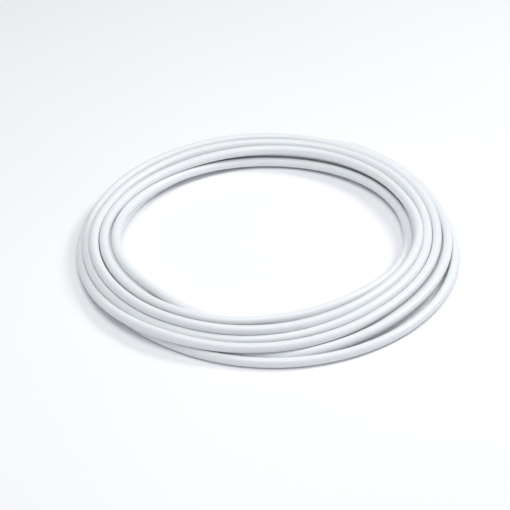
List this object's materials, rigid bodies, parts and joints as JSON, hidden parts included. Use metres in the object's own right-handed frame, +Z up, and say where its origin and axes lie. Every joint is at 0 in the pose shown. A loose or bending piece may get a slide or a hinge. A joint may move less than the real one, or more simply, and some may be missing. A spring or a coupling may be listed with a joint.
{
  "type": "plastic pipe coil",
  "caption": "Loose coil of smooth white plastic water pipe lying flat, its turns stacked in a low mound around a wide round bore.",
  "frame": {"origin": "on the floor at the middle of the coil's bore", "axes": "+Z up along the coil's axis; the coil lies flat in X and Y, and is round in the model"},
  "size_m": [0.8838, 0.8838, 0.0601],
  "materials": {
    "white_pipe": "smooth extruded white polybutylene with a soft satin gloss"
  },
  "bodies": {
    "root": {"pipe_coil": "white_pipe"}
  },
  "joints": []
}
